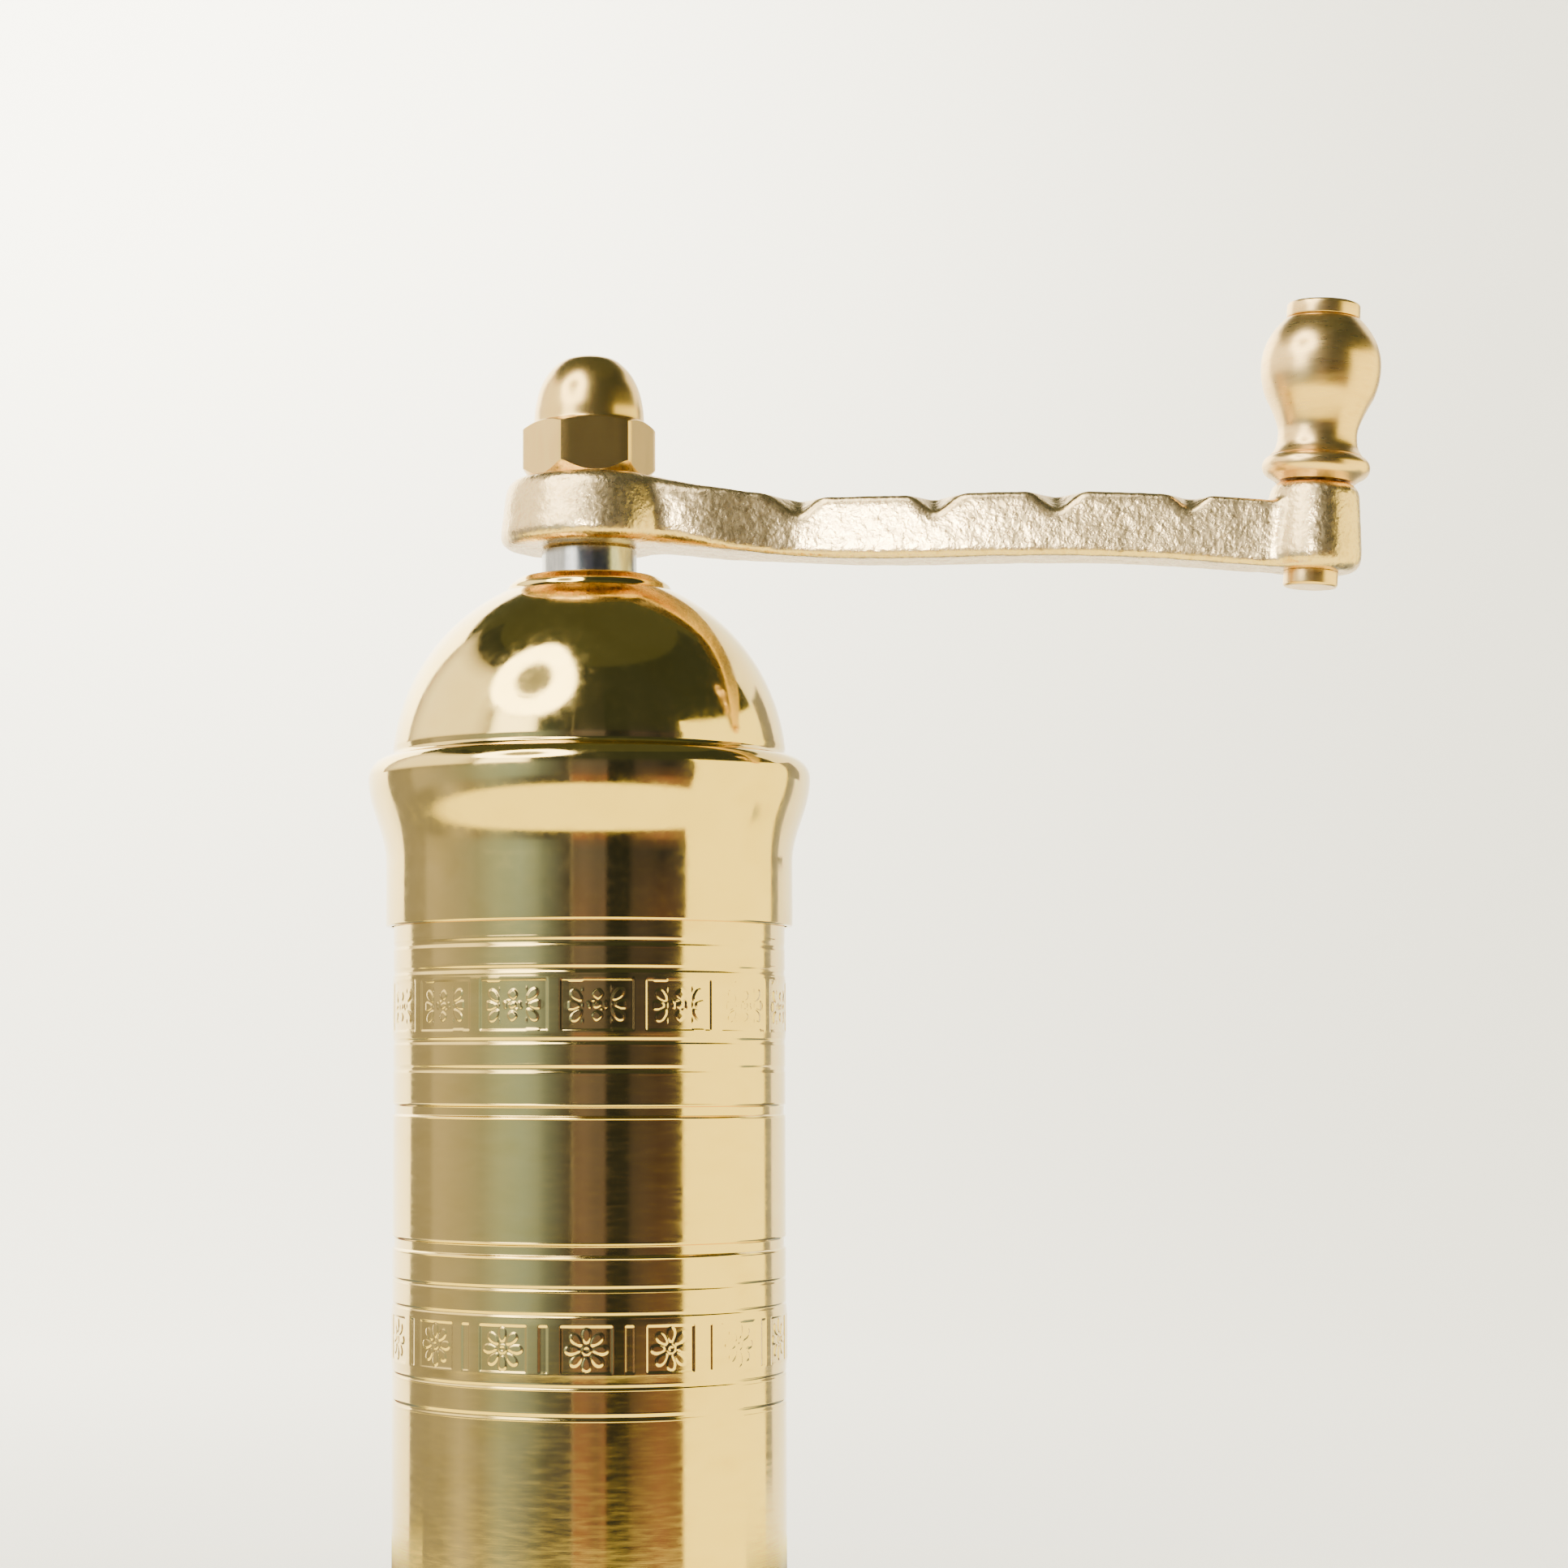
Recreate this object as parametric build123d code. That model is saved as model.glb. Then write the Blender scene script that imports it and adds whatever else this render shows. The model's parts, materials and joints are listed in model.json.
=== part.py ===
from build123d import *
import math
import os

# Hand coffee mill: a slender brass cylinder with a domed cap, a cast crank and a pull-off
# cup for the grounds. Millimetres, +Z up. The origin is the centre of the foot's flat
# underside, the main axis is Z, and the crank arm points along +X.

# ---------------------------------------------------------------- driving dimensions
TUBE_R = 25.0  # outside of the barrel and of the cup
TUBE_WALL = 1.0
BORE_R = TUBE_R - TUBE_WALL
SEAM_Z = 72.0  # where the barrel stands on the cup
BARREL_TOP_Z = 177.1  # the cap's inner ledge rests here
SHEET = 0.8  # thickness of the spun cap and foot
SLIP = 0.08  # radial clearance of a sliding or turning fit

RIM_Z = 156.3  # lower edge of the cap's skirt
SKIRT_R = 26.0
FLARE_Z = 164.5  # where the straight skirt starts to flare
BULGE_R = 28.3
BULGE_Z = 175.2
SHOULDER_R = 2.7  # round-over above the bulge
DOME_R = 25.27  # sphere of the dome
DOME_CENTRE_Z = 176.56
DOME_FLAT_Z = 199.3  # flattened top, where the bush sits

BUSH_FLANGE_R = 10.6  # the flange rounds over from here up to its shoulder
BUSH_FLANGE_T = 2.1
BUSH_SHOULDER_R = 7.6
BUSH_R = 8.0
BUSH_END_Z = 195.0
SLEEVE_R = 6.12

SHAFT_R = 4.0
SHAFT_FOOT_Z = 60.0
SQUARE = 6.4  # across the flats, inside the crank's hub
THREAD_R = 3.0
THREAD_TOP_Z = 221.5

HUB_Z = 205.0  # underside of the crank's hub
HUB_H = 9.0
HUB_TOP_Z = HUB_Z + HUB_H
HUB_FOOT_R = 11.5
HUB_HEAD_R = 10.7
CRANK_R = 92.3  # hub axis to knob axis, at the top of the boss
BOSS_TOP_Z = 212.2
BOSS_H = 11.3
BOSS_FOOT_R = 6.3
BOSS_HEAD_R = 5.6
ARM_START_X = 9.0  # inside the hub
ARM_HALF_W = 4.4
KNOB_LEAN = 3.5  # degrees, outwards
NOTCH_X = (27.0, 44.3, 59.7, 76.3)
NOTCH_ROOT_Z = 210.7  # at the arm's centre line
NOTCH_FALL = 30.0  # degrees, from the centre line down to each side
NOTCH_HALF_W = 5.2
NOTCH_H = 3.6

NUT_R = 8.72  # hexagon, centre to corner
NUT_HEX_H = 7.2
NUT_TOP_SLOPE = 0.55  # rise of the corner chamfers for each millimetre out
NUT_FOOT_SLOPE = 1.15
NUT_TOP_Z = 230.0
NUT_TURN = -79.9  # direction of one flat's normal, degrees from +X

PIN_R = 2.6
PIN_HEAD_R = 4.6
PIN_HEAD_T = 1.9
PIN_TAIL_R = 3.4
PIN_TAIL_L = 1.9
KNOB_GAP = 0.1  # play under the knob and under the pin's head
KNOB_L = 21.0

SPIDER_Z = 116.0
SPIDER_T = 4.0
EYE_R = 7.2
GUIDE_R = 5.4
STATOR_Z = 68.0
STATOR_TOP_Z = 84.0
STATOR_R = 23.0
SLEEVE_FOOT_Z = 58.0  # lower end of the coupling ring that the cup slides on
ROTOR_Z = 67.0
ROTOR_FOOT_R = 15.0
ROTOR_LAND = 1.0  # straight part below the cone
ROTOR_MID_R = 11.8  # where the fine teeth end
ROTOR_MID_H = 9.0
ROTOR_HUB_R = 7.0
ROTOR_TOP_Z = 91.0
BURR_GAP = 0.6
TOOTH = 0.9
CROSS_PIN_Z = 87.5
CROSS_PIN_R = 1.25

BRIDGE_Z = 50.0
BRIDGE_T = 3.0
BRIDGE_W = 9.0
BRIDGE_X = 15.8  # inner face of each leg
LEG_T = 1.8
FOOT_T = 2.0
SCREW_X = 20.0
SCREW_R = 1.25
SCREW_GRIP = 6.0
SCREW_HEAD_R = 2.2
SCREW_HEAD_H = 1.6
BALL_R = 2.5
BALL_GAP = 0.02
ADJUST_R = 4.0
WHEEL_R = 9.5
WHEEL_H = 6.0
WHEEL_TOP_Z = 46.0

FOOT_RIM_Z = 22.0  # upper edge of the foot's sleeve
FOOT_FLARE_Z = 13.6
FOOT_BULGE_Z = 3.4
FLOOR_T = 1.2

CUT = 0.25  # depth of the turned lines
GROOVE_CUT = 0.32
# centre height and width of each turned line and wide groove
BARREL_LINES = ((153.7, 1.1), (150.4, 1.1), (141.65, 1.0), (138.25, 1.1))
BARREL_LINES += ((111.9, 0.8), (108.75, 0.8), (100.15, 0.8), (96.6, 0.9))
BARREL_GROOVES = ((133.1, 1.45), (116.4, 1.55))
CUP_LINES = ((54.0, 0.9), (50.6, 0.8), (41.4, 0.8), (38.0, 0.9))
CUP_GROOVES = ((61.0, 1.5),)


# ---------------------------------------------------------------- shared helpers
def rod(radius, low, high):
    """Round bar on the Z axis."""
    return Pos(0, 0, low) * Cylinder(radius, high - low, align=(Align.CENTER, Align.CENTER, Align.MIN))


def block(low, high):
    """Box from its lowest to its highest corner."""
    size = [b - a for a, b in zip(low, high)]
    return Pos(*low) * Box(*size, align=(Align.MIN, Align.MIN, Align.MIN))


def upright(*edges):
    """Face in the XZ plane from closed edges given as (x, z)."""
    outline = [part for edge in edges for part in edge.edges()]
    return make_face([Plane.XZ * part for part in outline])


def turned(*edges):
    """Solid of revolution about Z from closed edges drawn in the XZ plane."""
    return revolve(upright(*edges), Axis.Z)


def turned_points(points):
    """Solid of revolution from a closed outline of straight lines, as (radius, z)."""
    return turned(Polyline(*points, close=True))


def groove(radius, height, width, depth):
    """Ring with a V section, to be cut from a tube of that radius."""
    reach = width / 2 + depth
    outer = radius + depth
    return turned_points(((outer, height - reach), (radius - depth, height), (outer, height + reach)))


def scored(tube, lines, grooves):
    """Cuts the turned lines and the wide grooves into a tube."""
    for height, width in lines:
        tube -= groove(TUBE_R, height, width - CUT, CUT)
    for height, width in grooves:
        half = width / 2
        tube -= turned_points(
            (
                (TUBE_R + GROOVE_CUT, height - half - GROOVE_CUT),
                (TUBE_R - GROOVE_CUT, height - half + GROOVE_CUT),
                (TUBE_R - GROOVE_CUT, height + half - GROOVE_CUT),
                (TUBE_R + GROOVE_CUT, height + half + GROOVE_CUT),
            )
        )
    return tube


def tilted(part):
    """Leans a part that was drawn upright at the origin onto the knob's axis."""
    return Pos(CRANK_R, 0, BOSS_TOP_Z) * Rot(0, KNOB_LEAN, 0) * part


# ---------------------------------------------------------------- casing
def make_barrel_tube():
    tube = rod(TUBE_R, SEAM_Z, BARREL_TOP_Z) - rod(BORE_R, SEAM_Z, BARREL_TOP_Z)
    return scored(tube, BARREL_LINES, BARREL_GROOVES)


def make_cup_tube():
    tube = rod(TUBE_R, FLOOR_T, SEAM_Z) - rod(BORE_R, FLOOR_T, SEAM_Z)
    return scored(tube, CUP_LINES, CUP_GROOVES)


def flare_edges(radius, flare_z, bulge_r, bulge_z):
    """Two tangent arcs from a straight skirt out to the widest point of the bulge."""
    rise, run = bulge_z - flare_z, bulge_r - radius
    turn = 2 * math.atan2(run, abs(rise))
    bend_r = abs(rise) / math.sin(turn) / 2
    side = math.copysign(1, rise)
    middle = (radius + run / 2, flare_z + rise / 2)
    half = turn / 2
    low = (radius + bend_r * (1 - math.cos(half)), flare_z + side * bend_r * math.sin(half))
    high = (bulge_r - bend_r * (1 - math.cos(half)), bulge_z - side * bend_r * math.sin(half))
    return [
        ThreePointArc((radius, flare_z), low, middle),
        ThreePointArc(middle, high, (bulge_r, bulge_z)),
    ]


def dome_arc(radius, low_z, high_z):
    """Arc of a dome of that radius between two heights."""
    heights = (low_z, (low_z + high_z) / 2, high_z)
    return ThreePointArc(*[(math.sqrt(radius**2 - (z - DOME_CENTRE_Z) ** 2), z) for z in heights])


def shoulder_arc(centre_r, centre_z, radius, side):
    """Quarter round from the bulge to the ledge above or below it."""
    half_way = math.cos(math.pi / 4) * radius
    return ThreePointArc(
        (centre_r + radius, centre_z),
        (centre_r + half_way, centre_z + side * half_way),
        (centre_r, centre_z + side * radius),
    )


def make_cap_shell():
    ledge_r = BULGE_R - SHOULDER_R
    crease_z = BULGE_Z + SHOULDER_R
    inner_r = SKIRT_R - SHEET + 0.1  # the skirt is a little thinner than the dome
    inner_dome = DOME_R - SHEET
    outer = flare_edges(SKIRT_R, FLARE_Z, BULGE_R, BULGE_Z)
    inner = flare_edges(inner_r, FLARE_Z, BULGE_R - SHEET, BULGE_Z)
    dome_out = dome_arc(DOME_R, crease_z, DOME_FLAT_Z)
    dome_in = dome_arc(inner_dome, BARREL_TOP_Z, DOME_FLAT_Z - SHEET)
    shell = turned(
        Line((inner_r, RIM_Z), (SKIRT_R, RIM_Z)),
        Line((SKIRT_R, RIM_Z), (SKIRT_R, FLARE_Z)),
        *outer,
        shoulder_arc(ledge_r, BULGE_Z, SHOULDER_R, 1),
        Line((ledge_r, crease_z), dome_out @ 0),
        dome_out,
        Line(dome_out @ 1, (BUSH_R, DOME_FLAT_Z)),
        Line((BUSH_R, DOME_FLAT_Z), (BUSH_R, DOME_FLAT_Z - SHEET)),
        Line((BUSH_R, DOME_FLAT_Z - SHEET), dome_in @ 1),
        dome_in,
        Line(dome_in @ 0, (ledge_r, BARREL_TOP_Z)),
        shoulder_arc(ledge_r, BULGE_Z, SHOULDER_R - SHEET, 1),
        *inner,
        Line((inner_r, FLARE_Z), (inner_r, RIM_Z)),
    )
    return shell


def make_cap_bush():
    """Flanged bush in the crown of the cap: the flange rounds over from the dome to the sleeve."""
    top = DOME_FLAT_Z + BUSH_FLANGE_T
    bore = SLEEVE_R + SLIP
    edge = (BUSH_FLANGE_R, DOME_FLAT_Z + 0.25)
    shoulder = Spline(edge, (9.9, DOME_FLAT_Z + 1.15), (BUSH_SHOULDER_R, top), tangents=((0, 1), (-1, 0)))
    return turned(
        Line((bore, BUSH_END_Z), (BUSH_R, BUSH_END_Z)),
        Line((BUSH_R, BUSH_END_Z), (BUSH_R, DOME_FLAT_Z)),
        Line((BUSH_R, DOME_FLAT_Z), (BUSH_FLANGE_R, DOME_FLAT_Z)),
        Line((BUSH_FLANGE_R, DOME_FLAT_Z), edge),
        shoulder,
        Line((BUSH_SHOULDER_R, top), (bore, top)),
        Line((bore, top), (bore, BUSH_END_Z)),
    )


def make_foot_shell():
    """Spun foot: the cap's skirt and bulge turned upside down, closed by a flat bottom."""
    inner_r = TUBE_R
    round_r = FOOT_BULGE_Z
    ledge_r = BULGE_R - round_r
    outer = flare_edges(SKIRT_R, FOOT_FLARE_Z, BULGE_R, FOOT_BULGE_Z)
    inner = flare_edges(inner_r, FOOT_FLARE_Z, BULGE_R - SHEET, FOOT_BULGE_Z)
    inner_round = FOOT_BULGE_Z - FLOOR_T
    inner_ledge = BULGE_R - SHEET - inner_round
    return turned(
        Line((inner_r, FOOT_RIM_Z), (SKIRT_R, FOOT_RIM_Z)),
        Line((SKIRT_R, FOOT_RIM_Z), (SKIRT_R, FOOT_FLARE_Z)),
        *outer,
        shoulder_arc(ledge_r, FOOT_BULGE_Z, round_r, -1),
        Line((ledge_r, 0), (0, 0)),
        Line((0, 0), (0, FLOOR_T)),
        Line((0, FLOOR_T), (inner_ledge, FLOOR_T)),
        shoulder_arc(inner_ledge, FOOT_BULGE_Z, inner_round, -1),
        *inner,
        Line((inner_r, FOOT_FLARE_Z), (inner_r, FOOT_RIM_Z)),
    )


def make_coupling_ring():
    """Brass ring soldered into the barrel's lower end; the cup slides up over it."""
    inner = STATOR_R
    plug_r = BORE_R - SLIP
    return turned_points(
        (
            (inner, SLEEVE_FOOT_Z),
            (plug_r - 0.4, SLEEVE_FOOT_Z),
            (plug_r, SLEEVE_FOOT_Z + 0.4),
            (plug_r, SEAM_Z),
            (BORE_R, SEAM_Z),
            (BORE_R, STATOR_TOP_Z + 2),
            (inner, STATOR_TOP_Z + 2),
        )
    )


# ---------------------------------------------------------------- crank
def make_hub_blank():
    """Tapered round hub with softened edges."""
    top_round, foot_round = 1.6, 1.3
    return turned_points(
        (
            (0, HUB_Z),
            (HUB_FOOT_R - foot_round - 0.2, HUB_Z),
            (HUB_FOOT_R - 0.45, HUB_Z + 0.35),
            (HUB_FOOT_R, HUB_Z + foot_round),
            (HUB_HEAD_R, HUB_TOP_Z - top_round),
            (HUB_HEAD_R - 0.5, HUB_TOP_Z - 0.5),
            (HUB_HEAD_R - top_round, HUB_TOP_Z),
            (0, HUB_TOP_Z),
        )
    )


def make_boss_blank():
    """Tapered boss that carries the knob's pin and leans with it."""
    return tilted(
        turned_points(
            (
                (0, -BOSS_H),
                (BOSS_FOOT_R - 1.5, -BOSS_H),
                (BOSS_FOOT_R - 0.3, 0.6 - BOSS_H),
                (BOSS_FOOT_R, 1.8 - BOSS_H),
                (BOSS_HEAD_R, -0.9),
                (BOSS_HEAD_R - 0.9, 0),
                (0, 0),
            )
        )
    )


def make_bar_blank():
    """Gently waved bar: a side outline and a plan outline, each extruded, in common."""
    top_points = ((13.9, 212.6), (20, 211.7), (27, 211.1), (42, 211.0), (60, 211.2), (72, 210.8))
    foot_points = ((84, 201.5), (72, 202.5), (55, 203.0), (34, 203.0), (20, 203.9))
    top = Spline((ARM_START_X, 213.6), *top_points, (CRANK_R, 209.2))
    foot = Spline((CRANK_R, 200.95), *foot_points, (ARM_START_X, 205.05))
    side = upright(top, Line(top @ 1, foot @ 0), foot, Line(foot @ 1, top @ 0))
    halves = []
    for side_y in (-1, 1):
        blend = Spline((ARM_START_X, side_y * 6.6), (18, side_y * 5.5), (NOTCH_X[0], side_y * ARM_HALF_W))
        halves += [blend, Line(blend @ 1, (CRANK_R, side_y * (ARM_HALF_W - 0.2)))]
    ends = [Line(halves[0] @ 0, halves[2] @ 0), Line(halves[1] @ 1, halves[3] @ 1)]
    plan = make_face(halves + ends)
    bar = extrude(side, amount=HUB_FOOT_R, both=True)
    return bar & extrude(Pos(0, 0, BOSS_TOP_Z - 2 * HUB_H) * plan, amount=3 * HUB_H)


def notch(x, side):
    """V cut across one upper edge of the arm; its root rises towards the middle."""
    wedge = upright(Polyline((0, 0), (-NOTCH_HALF_W, NOTCH_H), (NOTCH_HALF_W, NOTCH_H), close=True))
    prism = Pos(0, side * 7, 0) * extrude(wedge, amount=7, both=True)
    return Pos(x, 0, NOTCH_ROOT_Z) * Rot(-NOTCH_FALL * side, 0, 0) * prism


def make_crank_arm():
    arm = make_bar_blank()
    for x in NOTCH_X:
        for side in (-1, 1):
            arm -= notch(x, side)
    arm = arm + make_hub_blank() + make_boss_blank()
    arm -= square_bar(HUB_Z - 1, HUB_TOP_Z + 1)
    return arm - tilted(rod(PIN_R, -2 * BOSS_H, BOSS_H))


def square_bar(low, high):
    """Square drive section with its corners turned to the shaft's radius."""
    half = SQUARE / 2
    return block((-half, -half, low), (half, half, high)) & rod(SHAFT_R, low, high)


def make_acorn_nut():
    hexagon = Rot(0, 0, NUT_TURN + 30) * extrude(RegularPolygon(NUT_R, 6), amount=NUT_HEX_H)
    top_z = HUB_TOP_Z + NUT_HEX_H
    flat_r = NUT_R * math.cos(math.radians(30))
    chamfer = (NUT_R - flat_r) * NUT_TOP_SLOPE
    undercut = (NUT_R - flat_r) * NUT_FOOT_SLOPE
    barrel = turned_points(
        (
            (0, HUB_TOP_Z),
            (flat_r - 0.1, HUB_TOP_Z),
            (NUT_R, HUB_TOP_Z + undercut),
            (NUT_R, top_z - chamfer),
            (flat_r - 0.1, top_z),
            (0, top_z),
        )
    )
    hexagon = (Pos(0, 0, HUB_TOP_Z) * hexagon) & barrel
    side = Spline((7.25, top_z), (6.95, 224.0), (5.9, 227.2), (3.6, 229.55), tangents=((0, 1), (-1, 0.55)))
    dome = turned(
        Line((0, top_z), (7.25, top_z)),
        side,
        Line(side @ 1, (1.8, NUT_TOP_Z)),
        Line((1.8, NUT_TOP_Z), (0, NUT_TOP_Z)),
        Line((0, NUT_TOP_Z), (0, top_z)),
    )
    return hexagon + dome - rod(THREAD_R, HUB_TOP_Z - 1, THREAD_TOP_Z + 0.8)


def make_crank_knob():
    """Turned baluster knob that spins on its pin."""
    bore = PIN_R + SLIP
    foot = ThreePointArc((5.6, KNOB_GAP), (6.73, 2.0), (6.2, 3.4))
    waist = ((6.2, 3.4), (5.2, 4.6), (4.97, 6.2), (6.1, 9.75))
    bulb = ((7.13, 12.2), (7.48, 14.6), (6.98, 17.7), (5.5, 20.2), (4.6, KNOB_L))
    side = Spline(*waist, *bulb)
    body = turned(
        Line((bore, KNOB_GAP), (5.6, KNOB_GAP)),
        foot,
        side,
        Line(side @ 1, (bore, KNOB_L)),
        Line((bore, KNOB_L), (bore, KNOB_GAP)),
    )
    return tilted(body)


def make_knob_pin():
    """Headed rivet: flat head above the knob, shank through the boss, upset tail below."""
    head_z = KNOB_L + KNOB_GAP
    tail_z = -BOSS_H - PIN_TAIL_L
    bevel = 0.35
    top_z = head_z + PIN_HEAD_T
    rim = ((PIN_HEAD_R, head_z), (PIN_HEAD_R, top_z - bevel), (PIN_HEAD_R - bevel, top_z))
    head = turned_points(((0, head_z), *rim, (0, top_z)))
    return tilted(rod(PIN_R, tail_z, head_z) + head + rod(PIN_TAIL_R, tail_z, -BOSS_H))


# ---------------------------------------------------------------- drive
def make_drive_shaft():
    """Round shaft with a square for the crank and a stud for the nut."""
    shaft = rod(SHAFT_R, SHAFT_FOOT_Z, HUB_Z) + square_bar(HUB_Z, HUB_TOP_Z)
    shaft += rod(THREAD_R, HUB_TOP_Z, THREAD_TOP_Z)
    return shaft - cross_hole()


def make_spacer_sleeve():
    """Polished steel sleeve between the rotor shaft and the cap's bush, under the hub."""
    return turned_points(
        (
            (SHAFT_R, BUSH_END_Z - 1),
            (SLEEVE_R - 0.3, BUSH_END_Z - 1),
            (SLEEVE_R, BUSH_END_Z - 0.7),
            (SLEEVE_R, HUB_Z - 0.3),
            (SLEEVE_R - 0.3, HUB_Z),
            (SHAFT_R, HUB_Z),
        )
    )


def cross_hole():
    """Space of the pin that drives the rotor, across the shaft along Y."""
    return Pos(0, 0, CROSS_PIN_Z) * Rot(90, 0, 0) * Cylinder(CROSS_PIN_R, 2 * ROTOR_HUB_R)



def fine_tooth(radius):
    """V groove that runs up the flank of the grinding cone at that foot radius."""
    rise = ROTOR_MID_H - ROTOR_LAND
    lean = math.degrees(math.atan2(ROTOR_FOOT_R - ROTOR_MID_R, rise))
    bar = Rot(0, 0, 45) * Box(TOOTH, TOOTH, 2.4 * rise)
    return Pos(radius, 0, ROTOR_Z + ROTOR_LAND) * Rot(0, -lean, 0) * bar


def make_rotor_burr():
    """Grinding cone, wide at the foot: fine teeth below, coarse breakers above."""
    mid_z = ROTOR_Z + ROTOR_MID_H
    cone = turned_points(
        (
            (SHAFT_R, ROTOR_Z),
            (ROTOR_FOOT_R, ROTOR_Z),
            (ROTOR_FOOT_R, ROTOR_Z + ROTOR_LAND),
            (ROTOR_MID_R, mid_z),
            (ROTOR_HUB_R + 1.2, mid_z + 8),
            (ROTOR_HUB_R, mid_z + 9),
            (ROTOR_HUB_R, ROTOR_TOP_Z),
            (SHAFT_R, ROTOR_TOP_Z),
        )
    )
    breaker = Pos(ROTOR_MID_R, 0, mid_z + 4) * Rot(24, -27, 0) * Box(5.0, 3.2, 13)
    for place in PolarLocations(0, 30):
        cone -= place * fine_tooth(ROTOR_FOOT_R)
    for place in PolarLocations(0, 5):
        cone -= place * breaker
    return cone - cross_hole()


def make_stator_burr():
    """Fixed grinding ring: a funnel above, teeth facing the cone below."""
    ring = turned_points(
        (
            (ROTOR_FOOT_R + BURR_GAP, STATOR_Z),
            (STATOR_R, STATOR_Z),
            (STATOR_R, STATOR_TOP_Z),
            (STATOR_R - 1.6, STATOR_TOP_Z),
            (ROTOR_MID_R + BURR_GAP, ROTOR_Z + ROTOR_MID_H),
        )
    )
    for place in PolarLocations(0, 36):
        ring -= place * fine_tooth(ROTOR_FOOT_R + BURR_GAP)
    for x in (-SCREW_X, SCREW_X):
        ring -= Pos(x, 0, 0) * rod(SCREW_R, STATOR_Z - 1, STATOR_Z + SCREW_GRIP)
    return ring


def make_drive_pin():
    return Pos(0, 0, CROSS_PIN_Z) * Rot(90, 0, 0) * Cylinder(CROSS_PIN_R, 2 * ROTOR_HUB_R - 0.4)


def make_spring_washer():
    return rod(8.0, ROTOR_TOP_Z, ROTOR_TOP_Z + 1) - rod(SHAFT_R + SLIP, ROTOR_TOP_Z - 1, ROTOR_TOP_Z + 2)


def make_pressure_spring():
    """Open coil between the spider's bearing and the washer on the rotor."""
    wire, mean_r, turns = 0.6, 6.0, 6
    low, high = ROTOR_TOP_Z + 1 + wire + 0.05, SPIDER_Z - 2.0 - wire - 0.05
    path = Helix(pitch=(high - low) / turns, height=high - low, radius=mean_r)
    section = Plane(origin=path @ 0, z_dir=path % 0) * Circle(wire)
    return Pos(0, 0, low) * sweep(section, path=path)


def make_bearing_spider():
    """Three arms from a bearing eye to a band that grips the barrel's bore."""
    eye_low, eye_high = SPIDER_Z - 2, SPIDER_Z + SPIDER_T + 2
    band = rod(BORE_R, SPIDER_Z, SPIDER_Z + SPIDER_T)
    band -= rod(BORE_R - 1.2, SPIDER_Z - 1, SPIDER_Z + SPIDER_T + 1)
    arm = block((5, -2.2, SPIDER_Z), (BORE_R - 0.6, 2.2, SPIDER_Z + SPIDER_T - 1))
    for place in PolarLocations(0, 3):
        band += place * arm
    return band + rod(EYE_R, eye_low, eye_high) - rod(GUIDE_R, eye_low - 1, eye_high + 1)


def make_guide_bush():
    """Plain bearing in the spider's eye that steadies the shaft."""
    low, high = SPIDER_Z - 2, SPIDER_Z + SPIDER_T + 2
    bush = rod(GUIDE_R, low, high) + rod(EYE_R, high, high + 1.2)
    return bush - rod(SHAFT_R + SLIP, low - 1, high + 3)


# ---------------------------------------------------------------- grind adjuster
def make_adjuster_bridge():
    """Stirrup under the grinding ring, tapped in the middle for the adjuster."""
    half = BRIDGE_W / 2
    outer = BRIDGE_X + LEG_T
    boss = rod(ADJUST_R + 2.5, BRIDGE_Z - 1.5, BRIDGE_Z + BRIDGE_T)
    bar = block((-outer, -half, BRIDGE_Z), (outer, half, BRIDGE_Z + BRIDGE_T)) + boss
    leg = block((BRIDGE_X, -half, BRIDGE_Z), (outer, half, STATOR_Z))
    foot = block((BRIDGE_X, -half, STATOR_Z - FOOT_T), (STATOR_R, half, STATOR_Z))
    foot &= rod(STATOR_R - 0.2, STATOR_Z - FOOT_T, STATOR_Z)
    foot -= Pos(SCREW_X, 0, 0) * rod(SCREW_R, BRIDGE_Z, STATOR_Z)
    for place in PolarLocations(0, 2):
        bar += place * (leg + foot)
    return bar - rod(ADJUST_R + SLIP, BRIDGE_Z - 2, BRIDGE_Z + BRIDGE_T)


def make_bridge_screws():
    """Two cheese-head screws that hold the stirrup to the grinding ring."""
    head_top = STATOR_Z - FOOT_T
    head_low = head_top - SCREW_HEAD_H
    screw = rod(SCREW_R, head_top, STATOR_Z + SCREW_GRIP) + rod(SCREW_HEAD_R, head_low, head_top)
    screw -= block((-3, -0.3, head_low - 1), (3, 0.3, head_low + 0.6))
    return Compound([Pos(x, 0, 0) * screw.solid() for x in (-SCREW_X, SCREW_X)])


def make_thrust_ball():
    return Pos(0, 0, SHAFT_FOOT_Z - BALL_R - BALL_GAP) * Sphere(BALL_R)


def make_adjuster_screw():
    """Threaded stem whose tip lifts the ball and the shaft."""
    return rod(ADJUST_R, WHEEL_TOP_Z - WHEEL_H, SHAFT_FOOT_Z - 2 * BALL_R - 2 * BALL_GAP)


def make_adjuster_wheel():
    """Knurled thumb wheel fixed on the stem."""
    wheel = rod(WHEEL_R, WHEEL_TOP_Z - WHEEL_H, WHEEL_TOP_Z)
    rib = Pos(WHEEL_R, 0, WHEEL_TOP_Z - WHEEL_H / 2) * Rot(0, 0, 45) * Box(1.0, 1.0, WHEEL_H + 2)
    for place in PolarLocations(0, 36):
        wheel -= place * rib
    return wheel - rod(ADJUST_R, WHEEL_TOP_Z - WHEEL_H, WHEEL_TOP_Z)


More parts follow.
